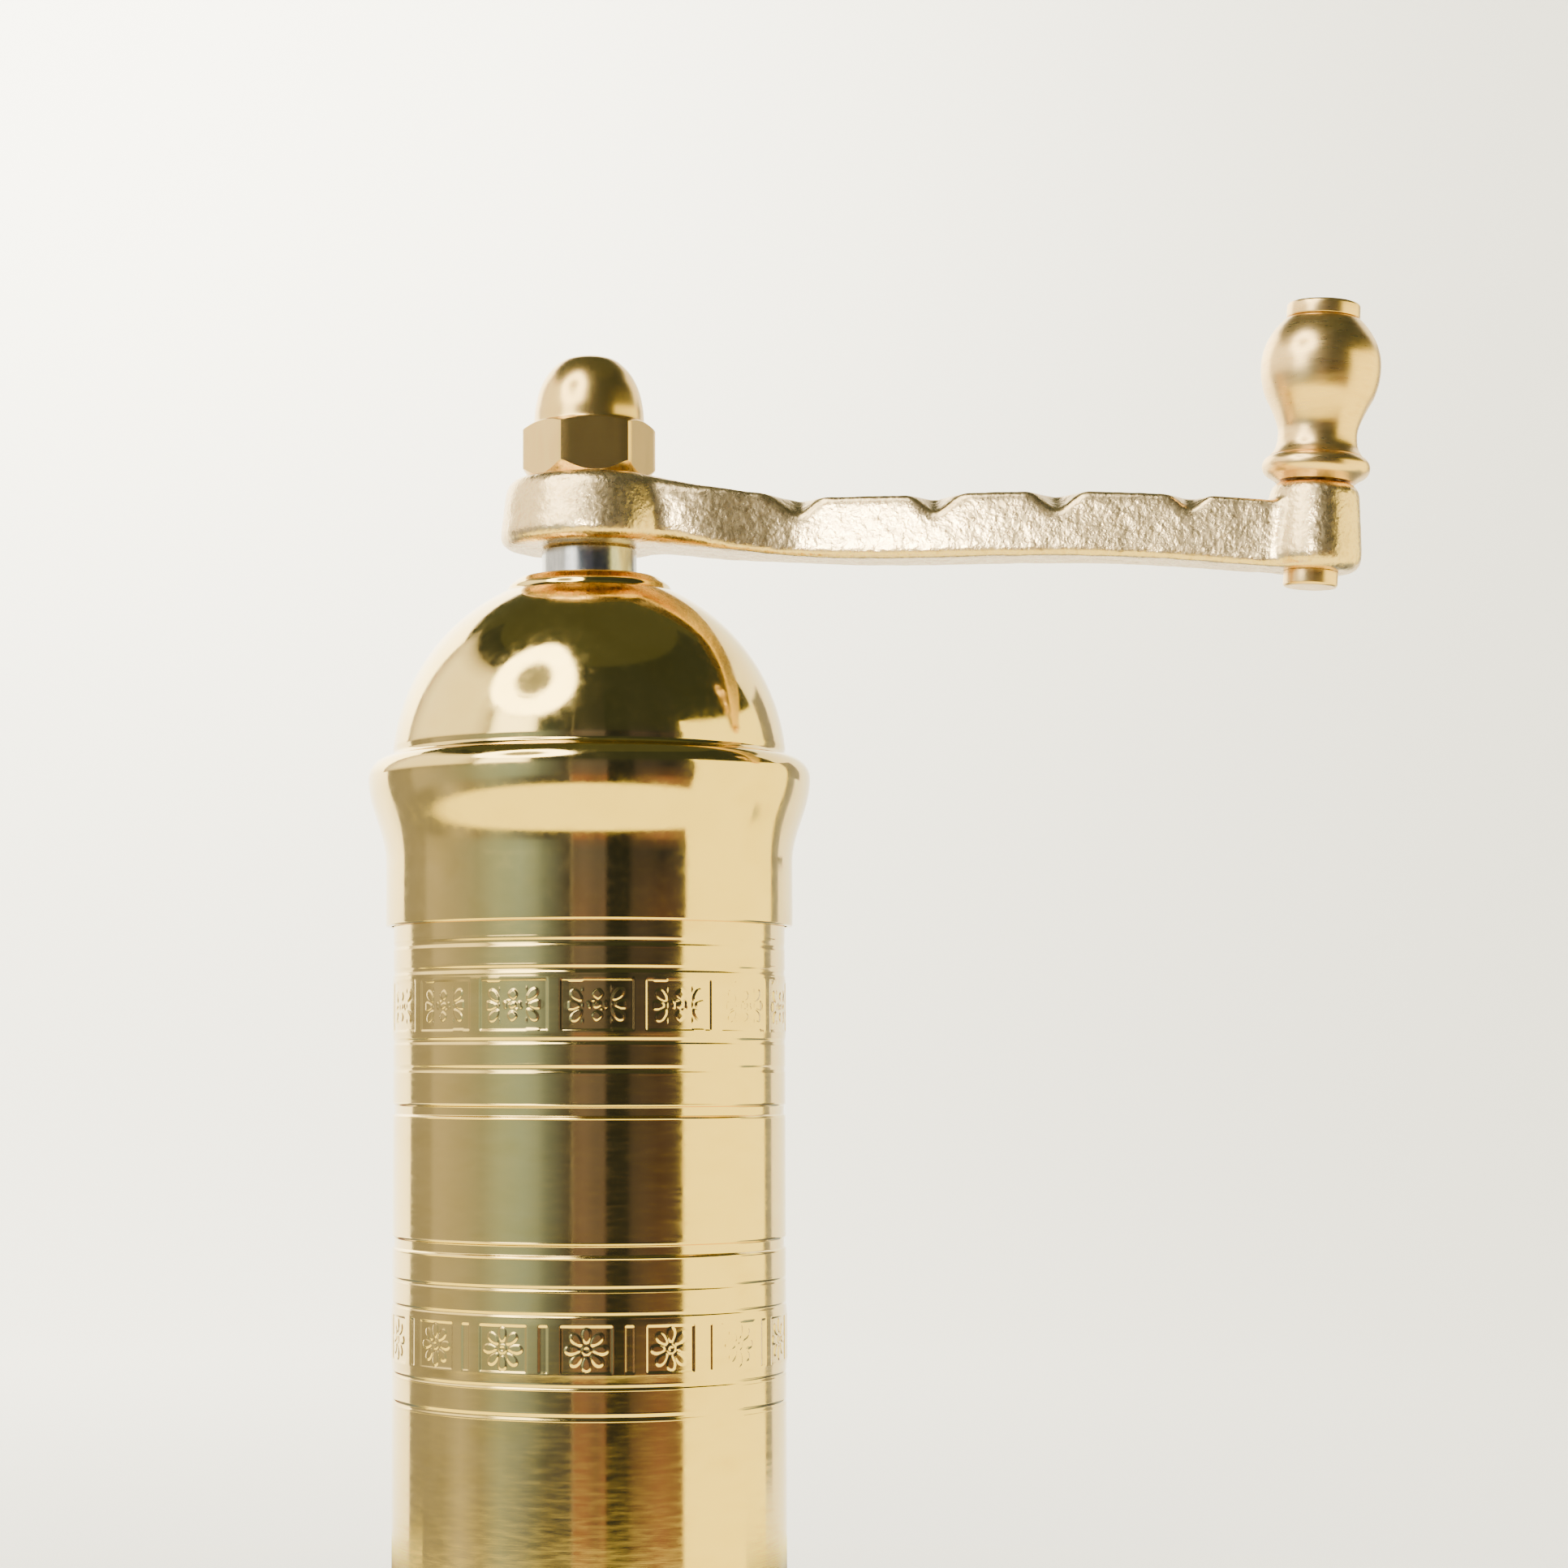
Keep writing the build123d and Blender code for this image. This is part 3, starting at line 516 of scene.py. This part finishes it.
def makeArm():
    mesh = frame["nodes"]["crank_arm"].data.copy()
    work = bmesh.new()
    work.from_mesh(mesh)
    bmesh.ops.remove_doubles(work, verts=work.verts, dist=1e-6)
    work.to_mesh(mesh)
    work.free()
    blank = bpy.data.objects.new("arm_blank", mesh)
    bpy.context.scene.collection.objects.link(blank)
    remesh = blank.modifiers.new("remesh", "REMESH")
    remesh.mode, remesh.voxel_size, remesh.use_smooth_shade = "VOXEL", arm["voxel"] * mm, True
    soft = blank.modifiers.new("soften", "SMOOTH")
    soft.factor, soft.iterations = 0.5, arm["soften"]
    seen = bpy.context.evaluated_depsgraph_get()
    cast = bpy.data.meshes.new_from_object(blank.evaluated_get(seen))
    bpy.data.objects.remove(blank)
    neck = bpy.data.objects.new("arm_neck", cast)  # the hub runs into the arm in a wide hollow
    bpy.context.scene.collection.objects.link(neck)
    near = neck.vertex_groups.new(name="neck")
    for v in cast.vertices:
        near.add([v.index], math.exp(-((v.co.x / mm - arm["neckX"]) / arm["neckReach"]) ** 2), "REPLACE")
    melt = neck.modifiers.new("melt", "SMOOTH")
    melt.factor, melt.iterations, melt.vertex_group = 0.5, arm["neckSoften"], "neck"
    seen = bpy.context.evaluated_depsgraph_get()
    result = bpy.data.meshes.new_from_object(neck.evaluated_get(seen))
    bpy.data.objects.remove(neck)
    for v in result.vertices:
        v.co.y *= 1 + wider(v.co.x / mm)
    for vert, direction in [(v, v.normal.copy()) for v in result.vertices]:
        rise = 0
        for size, height in arm["lumps"]:
            rise += height * noise.noise(vert.co / (size * mm))
        vert.co += direction * rise * mm
    return finishMesh("crank_casting", result, finish["castBrass"], 80)


nut = dict(columns=16, cornerR=8.72, hexHeight=7.2, turn=-79.9, topSlope=0.55, footSlope=1.15, cornerCut=0.25,
           domeR=7.1, domeFlat=1.75, holeR=3.2, holeDepth=8.3)  # turn in degrees


def makeNut():
    lowZ, topZ = nutLow[2], nutHigh[2]
    hexTop = lowZ + nut["hexHeight"]
    cornerR, holeR = nut["cornerR"], nut["holeR"]
    flatR = cornerR * math.cos(math.pi / 6)
    turn = math.radians(nut["turn"])
    sides = 6 * nut["columns"]
    rings = []

    def ring(radiusAt, heightAt):
        rings.append([(radiusAt(a), a, heightAt(a)) for a in (2 * math.pi * i / sides for i in range(sides))])

    def edgeR(a):
        off = (a + math.pi / 6) % (math.pi / 3) - math.pi / 6
        return min(flatR / math.cos(off), cornerR - nut["cornerCut"] * 0.5)

    def drop(a):
        return (edgeR(a) - flatR + 0.15) * nut["topSlope"]

    def under(a):
        return (edgeR(a) - flatR + 0.15) * nut["footSlope"]

    seat = flatR - 0.15
    ring(lambda a: holeR, lambda a: lowZ)
    ring(lambda a: seat, lambda a: lowZ)
    ring(lambda a: edgeR(a) - 0.06, lambda a: lowZ + under(a) - 0.05)
    ring(edgeR, lambda a: lowZ + under(a) + 0.06)
    for i in range(1, 6):
        ring(edgeR, lambda a, t=i / 6: (lowZ + under(a)) * (1 - t) + (hexTop - drop(a)) * t)
    ring(edgeR, lambda a: hexTop - drop(a) - 0.06)
    ring(lambda a: edgeR(a) - 0.06, lambda a: hexTop - drop(a) + 0.03)
    ring(lambda a: seat, lambda a: hexTop)
    shape = [(nut["domeR"] + 0.12, hexTop + 0.02), (nut["domeR"], hexTop + 0.2), (6.98, 223.2), (6.45, 225.6),
             (5.45, 227.6), (4.05, 229.1), (2.9, 229.72), (nut["domeFlat"], topZ - 0.03), (1.2, topZ)]
    for r, z in curveThrough(shape, 5):
        ring(lambda a, r=r: r, lambda a, z=z: z)
    verts = [(r * math.cos(a + turn), r * math.sin(a + turn), z) for line in rings for r, a, z in line]
    faces = [(j * sides + i, j * sides + (i + 1) % sides,
              (j + 1) * sides + (i + 1) % sides, (j + 1) * sides + i)
             for j in range(len(rings) - 1) for i in range(sides)]
    centres, holeTop = len(verts), lowZ + nut["holeDepth"]
    verts += [(0, 0, topZ), (0, 0, holeTop)]
    verts += [(holeR * math.cos(a + turn), holeR * math.sin(a + turn), holeTop)
              for a in (2 * math.pi * i / sides for i in range(sides))]
    last = (len(rings) - 1) * sides
    for i in range(sides):
        k = (i + 1) % sides
        faces += [(last + i, last + k, centres), (centres + 2 + i, centres + 2 + k, centres + 1),
                  (i, k, centres + 2 + k, centres + 2 + i)]
    return finishMesh("acorn_nut_body", meshFrom("acorn_nut_body", verts, faces), finish["nutBrass"], 28)


knobJoint = joints["knob_spin"]
knobPlace = Matrix.Translation(Vector(knobJoint["pos_m"])) @ Vector((0, 0, 1)).rotation_difference(
    Vector(knobJoint["axis"])).to_matrix().to_4x4()
knob = dict(bore=2.68, gap=0.1, length=21.0, sides=160)
pin = dict(shank=2.6, head=4.6, headHeight=1.9, tail=3.4, tailLength=1.9, boss=11.3)


def makeKnob():
    bead = arc((5.35, 2.02), 1.40, -78, 72, 14)
    bead[0] = (5.3, knob["gap"] + 0.25)
    shape = [(5.82, 3.4), (5.22, 4.35), (4.97, 5.6), (5.02, 7.0), (5.55, 8.52), (6.11, 9.74), (6.75, 11.0),
             (7.15, 12.2), (7.40, 13.4), (7.49, 14.7), (7.42, 16.0), (7.15, 17.2), (6.72, 18.3), (6.1, 19.35),
             (5.5, 20.15), (4.95, 20.75), (4.6, knob["length"])]
    outline = [(knob["bore"], knob["gap"]), (5.0, knob["gap"])] + bead + curveThrough(shape, 4)
    outline += [(knob["bore"], knob["length"])]
    return spin("knob_body", outline, finish["turnedBrass"], knob["sides"], knobPlace)


def makePin():
    low, headZ = -pin["boss"] - pin["tailLength"], knob["length"] + knob["gap"]
    topZ = headZ + pin["headHeight"]
    outline = [(0, low), (2.4, low)] + arc((pin["tail"] - 0.35, low + 0.35), 0.35, -90, 0, 4)
    outline += [(pin["tail"], -pin["boss"]), (pin["shank"], -pin["boss"]), (pin["shank"], headZ)]
    outline += arc((pin["head"] - 0.2, headZ + 0.2), 0.2, -90, 0, 3)
    outline += arc((pin["head"] - 0.4, topZ - 0.4), 0.4, 0, 90, 5)
    outline += [(1.6, topZ), (1.3, topZ - 0.12), (0, topZ - 0.12)]
    return spin("knob_rivet", outline, finish["turnedBrass"], 128, knobPlace)


def makeSleeve():
    r, low, high, bore, bevel = sleeveHigh[0], sleeveLow[2], sleeveHigh[2], 4.0, 0.3
    outline = [(bore, low), (r - bevel, low), (r, low + bevel),
               (r, high - bevel), (r - bevel, high), (bore, high)]
    return spin("spacer_collar", outline, finish["brightSteel"], 160)


casting = settle(makeArm(), "crank", "cast_brass", "crank_arm")
settle(makeNut(), "crank", "nut_brass", "acorn_nut")
settle(makeKnob(), "knob", "turned_brass", "crank_knob")
settle(makePin(), "crank", "turned_brass", "knob_pin")
settle(makeSleeve(), "crank", "bright_steel", "spacer_sleeve")
print("crank made")


# works inside: the CAD shapes, given their finishes

works = dict(
    barrel=dict(coupling_ring="innerBrass", stator_burr="burrIron", bearing_spider="zincSteel",
                guide_bush="innerBrass", adjuster_bridge="zincSteel", bridge_screws="zincSteel",
                pressure_spring="springSteel"),
    feed=dict(thrust_ball="brightSteel"),
    adjuster=dict(adjuster_screw="zincSteel", adjuster_wheel="innerBrass"),
    crank=dict(drive_shaft="brightSteel", rotor_burr="burrIron", drive_pin="brightSteel",
               spring_washer="zincSteel"))
for body, parts in works.items():
    for node, look in parts.items():
        carried = frame["nodes"][node]
        carried.data.materials.clear()
        carried.data.materials.append(finish[look])
print("works finished")


# studio: angles in degrees, azimuths counted to the right of the eye's direction

# it glows everywhere, more on the left behind the mill, and most high up there
studio = dict(bowlR=1900, sweep=700, wall=1700, colour=(0.80, 0.785, 0.73), tint=(0.80, 0.76, 0.63),
              glow=1.15, left=1.9, corner=5.0)


def towards(azimuth):
    a = math.radians(cameraTurn - 90 + azimuth)
    return Vector((math.cos(a), math.sin(a), 0))


def makeBackdrop():
    look = bpy.data.materials.new("paleBackdrop")
    look.use_nodes = True
    nodes, links = look.node_tree.nodes, look.node_tree.links
    shader = nodes["Principled BSDF"]
    shader.inputs["Base Color"].default_value = (*studio["colour"], 1)
    shader.inputs["Roughness"].default_value = 0.9
    shader.inputs["Emission Color"].default_value = (*studio["tint"], 1)
    coords, apart = nodes.new("ShaderNodeTexCoord"), nodes.new("ShaderNodeSeparateXYZ")
    links.new(coords.outputs["Object"], apart.inputs["Vector"])

    def fade(axis, start, end, low, high):  # an even change along one axis, places in metres
        change = nodes.new("ShaderNodeMapRange")
        change.interpolation_type = "SMOOTHSTEP"
        for name, value in (("From Min", start), ("From Max", end), ("To Min", low), ("To Max", high)):
            change.inputs[name].default_value = value
        links.new(apart.outputs[axis], change.inputs["Value"])
        return change.outputs["Result"]

    share, total = nodes.new("ShaderNodeMath"), nodes.new("ShaderNodeMath")
    share.operation, total.operation = "MULTIPLY", "MULTIPLY_ADD"
    links.new(fade("X", -0.62, 0.60, 1, 0), share.inputs[0])
    links.new(fade("Y", 0.1, 1.1, 0, 1), share.inputs[1])
    links.new(share.outputs[0], total.inputs[0])
    links.new(fade("Z", 0.05, 0.95, studio["left"], studio["left"] + studio["corner"]), total.inputs[1])
    total.inputs[2].default_value = studio["glow"]
    links.new(total.outputs[0], shader.inputs["Emission Strength"])
    r, sweep = studio["bowlR"], studio["sweep"]
    line = [(0.0, 0.0), (300.0, 0.0), (r - sweep, 0.0)] + arc((r - sweep, sweep), sweep, -90, 0, 24)
    line += [(r, studio["wall"])]
    verts, faces, sides = [], [], 96
    for i in range(sides):
        a = 2 * math.pi * i / sides
        verts += [(x * math.cos(a), x * math.sin(a), z - 0.05) for x, z in line]
    count = len(line)
    for i in range(sides):
        n = (i + 1) % sides
        faces += [(i * count + j, i * count + j + 1, n * count + j + 1, n * count + j)
                  for j in range(count - 1)]
    finishMesh("backdrop", meshFrom("backdrop", verts, faces), look, 60)


# what stands round the mill and shows in the polished brass: (azimuth, colour low down, colour at mid height)
khaki, paleKhaki, sage, slate = (0.50, 0.45, 0.37), (0.86, 0.77, 0.66), (0.62, 0.74, 0.74), (0.27, 0.34, 0.40)
dusk, night, wood, dimWood = (0.12, 0.12, 0.14), (0.03, 0.034, 0.04), (0.46, 0.22, 0.15), (0.17, 0.15, 0.18)
moss, cream = (0.055, 0.065, 0.05), (3.5, 2.9, 0.85)
room = dict(
    left=((-126, khaki, khaki), (-104, khaki, (0.58, 0.52, 0.44)), (-100, khaki, paleKhaki),
          (-92, khaki, paleKhaki), (-78, paleKhaki, (0.64, 0.60, 0.54)), (-64, khaki, (0.54, 0.57, 0.53)),
          (-51, (0.56, 0.62, 0.6), sage),
          (-38, (0.32, 0.36, 0.42), (0.58, 0.75, 0.84)), (-30, (0.2, 0.22, 0.24), (0.50, 0.62, 0.68)),
          (-24, dusk, slate), (-13, dusk, dusk), (-9.5, dusk, (0.09, 0.085, 0.10))),
    front=((-9.4, wood, dimWood), (-3, wood, (0.22, 0.19, 0.22)), (4, (0.28, 0.16, 0.13), dimWood),
           (8.5, wood, dimWood),
           (9.5, night, night), (21, (0.06, 0.05, 0.05), night), (24, (0.2, 0.13, 0.1), (0.08, 0.07, 0.09)),
           (31, (0.33, 0.19, 0.13), (0.08, 0.07, 0.09)), (40, wood, (0.045, 0.045, 0.06)),
           (49, (0.40, 0.22, 0.13), (0.08, 0.07, 0.09)), (54.5, (0.36, 0.2, 0.12), dusk)),
    right=((121.5, khaki, khaki), (131, (0.7, 0.66, 0.6), (0.7, 0.66, 0.62))),
    rightCard=((54.5, cream, cream), (121.5, cream, cream)),
    floorCard=((-180, cream, cream), (180, cream, cream)),
    rightTop=((54.5, moss, moss), (118, moss, moss)),
    rightBack=((122, khaki, khaki), (138, khaki, khaki)),
    backFloor=((100, sage, sage), (118, slate, slate), (135, dusk, dusk), (150, sage, sage),
               (162, khaki, khaki), (176, night, night), (190, dusk, dusk), (205, wood, wood),
               (214, khaki, khaki), (232, slate, slate),
               (250, khaki, khaki)))
cooler = (0.98, 1.04, 1.2)  # the brass takes this much blue away again
# distance, height, share of the mid colour, share of moss, share of cream
wallRows = ((420, 1, 0, 0, 1), (490, 1, 0, 0, 0), (585, 1, 0, 0, 0), (600, 15, 0, 0, 0),
            (600, 70, 0.75, 0, 0),
            (600, 190, 1, 0, 0), (600, 280, 1, 0.4, 0), (600, 420, 1, 0.9, 0), (600, 1050, 1, 1, 0))
rows = dict(left=wallRows, front=wallRows, right=wallRows[3:7],
            rightCard=((420, 1, 0, 0, 0), (600, 1, 0, 0, 0), (600, 410, 0, 0, 0)),
            floorCard=((60, 1, 0, 0, 0), (420, 1, 0, 0, 0)),
            rightTop=((600, 410, 0, 0, 0), (600, 1050, 0, 0, 0)),
            rightBack=((600, 190, 0, 0, 0), (600, 235, 0, 0, 0), (600, 420, 0, 0, 0)),
            backFloor=((150, 2, 0, 0, 1), (230, 2, 0, 0, 0), (500, 2, 0, 0, 0), (570, 2, 0, 0, 1)))


def tinted(colour):
    return Vector([a * b for a, b in zip(colour, cooler)])


def glowing(name):  # emission from the mesh's own colours
    look = bpy.data.materials.new(name)
    look.use_nodes = True
    nodes, links = look.node_tree.nodes, look.node_tree.links
    nodes.clear()
    light, tint = nodes.new("ShaderNodeEmission"), nodes.new("ShaderNodeAttribute")
    tint.attribute_name = "glow"
    links.new(tint.outputs["Color"], light.inputs["Color"])
    links.new(light.outputs[0], nodes.new("ShaderNodeOutputMaterial").inputs["Surface"])
    return look


def panel(name, columns, look):  # a staged sheet: each column is a list of (place in mm, colour)
    mesh = bpy.data.meshes.new(name)
    count = len(columns[0])
    faces = [(i * count + j, (i + 1) * count + j, (i + 1) * count + j + 1, i * count + j + 1)
             for i in range(len(columns) - 1) for j in range(count - 1)]
    mesh.from_pydata([place * mm for column in columns for place, _ in column], [], faces)
    glow = mesh.color_attributes.new("glow", "FLOAT_COLOR", "POINT")
    for k, (_, colour) in enumerate(spot for column in columns for spot in column):
        glow.data[k].color = (*colour, 1)
    sheet = finishMesh(name, mesh, look)
    sheet.visible_camera = sheet.visible_shadow = sheet.visible_diffuse = False
    return sheet


def makeRoom():
    look = glowing("surroundings")
    for name, stops in room.items():
        columns = []
        for (a0, low0, mid0), (a1, low1, mid1) in zip(stops, stops[1:]):
            steps = max(1, round((a1 - a0) / 2))
            for i in range(steps + (a1 == stops[-1][0])):
                t = i / steps
                low, mid = Vector(low0).lerp(Vector(low1), t), Vector(mid0).lerp(Vector(mid1), t)
                out = towards(a0 + (a1 - a0) * t)
                columns.append([(out * r + Vector((0, 0, z)),
                                 tinted(low.lerp(mid, share).lerp(Vector(moss), high)
                                        .lerp(Vector(cream), pale)))
                                for r, z, share, high, pale in rows[name]])
        panel("room_" + name, columns, look)


def onSphere(azimuth, elevation, distance):
    e = math.radians(elevation)
    return towards(azimuth) * distance * math.cos(e) + Vector((0, 0, 150 + distance * math.sin(e)))


def softWindow(name, azimuths, elevations, distance, colour):
    steps = 10
    spots = [[(onSphere(azimuths[0] + (azimuths[1] - azimuths[0]) * i / steps,
                        elevations[0] + (elevations[1] - elevations[0]) * j / steps, distance),
               Vector(colour) * smoothStep(0, 0.3, 0.1 + min(i, steps - i, j, steps - j) / steps))
              for j in range(steps + 1)] for i in range(steps + 1)]
    return panel(name, spots, glowing(name))


def ringLight(name, azimuth, elevation, distance, inner, outer, colour):  # radii in degrees
    columns = []
    for i in range(49):
        a = 2 * math.pi * i / 48
        columns.append([(onSphere(azimuth + r * math.cos(a) / math.cos(math.radians(elevation)),
                                  elevation + r * math.sin(a), distance), Vector(colour) * level)
                        for r, level in ((0.1, 0.06), (inner - 1.5, 0.08), (inner + 1.5, 1.0),
                                         (outer - 2, 1.0),
                                         (outer, 0.2))])
    panel(name, columns, glowing(name))


# only is a collection that alone takes the lamp's light
def lamp(name, azimuth, elevation, distance, size, power, only=None):
    data = bpy.data.lights.new(name, "AREA")
    data.shape, data.energy = "ELLIPSE", power
    data.size, data.size_y = size
    light = bpy.data.objects.new(name, data)
    place = onSphere(azimuth, elevation, distance)
    light.location = place * mm
    light.rotation_euler = (place - Vector((0, 0, 150))).to_track_quat("Z", "Y").to_euler()
    light.visible_camera = False
    light.visible_glossy = only is not None
    if only:
        light.light_linking.receiver_collection = only
    bpy.context.scene.collection.objects.link(light)


def makeWorld():
    world = bpy.data.worlds.new("dimCeiling")
    world.use_nodes = True
    world.node_tree.nodes["Background"].inputs["Color"].default_value = (0.10, 0.115, 0.075, 1)
    world.node_tree.nodes["Background"].inputs["Strength"].default_value = 1.0
    bpy.context.scene.world = world


eye = dict(lens=78.6, distance=438, height=139.2, up=3.6, left=0.1242, low=0.0395)


def makeCamera():
    data = bpy.data.cameras.new("eye")
    data.lens, data.sensor_width = eye["lens"], 36.0
    data.shift_x, data.shift_y = eye["left"], eye["low"]
    camera = bpy.data.objects.new("eye", data)
    camera.location = (towards(0) * eye["distance"] + Vector((0, 0, eye["height"]))) * mm
    camera.rotation_euler = (math.radians(90 + eye["up"]), 0, math.radians(cameraTurn))
    bpy.context.scene.collection.objects.link(camera)
    bpy.context.scene.camera = camera


makeBackdrop()
makeRoom()
softWindow("window_left", (-60, -30), (7, 38), 590, (7.0, 6.8, 6.3))
softWindow("glow_left", (-132, -58), (8, 48), 595, (2.7, 2.5, 2.1))
ringLight("ring_lamp", -41, 47.5, 590, 9.5, 22, (12, 11.6, 10.5))
armOnly = bpy.data.collections.new("arm_only")
armOnly.objects.link(casting)
lamp("arm_window", -9, 10, 590, (0.10, 0.13), 3.4, armOnly)
lamp("arm_top", -12, 50, 590, (0.40, 0.26), 1.2, armOnly)
lamp("arm_fill", -10, 20, 800, (1.6, 1.0), 0.5, armOnly)
lamp("key", -35, 52, 1400, (0.5, 0.5), 22)
makeWorld()
makeCamera()
print("studio made")
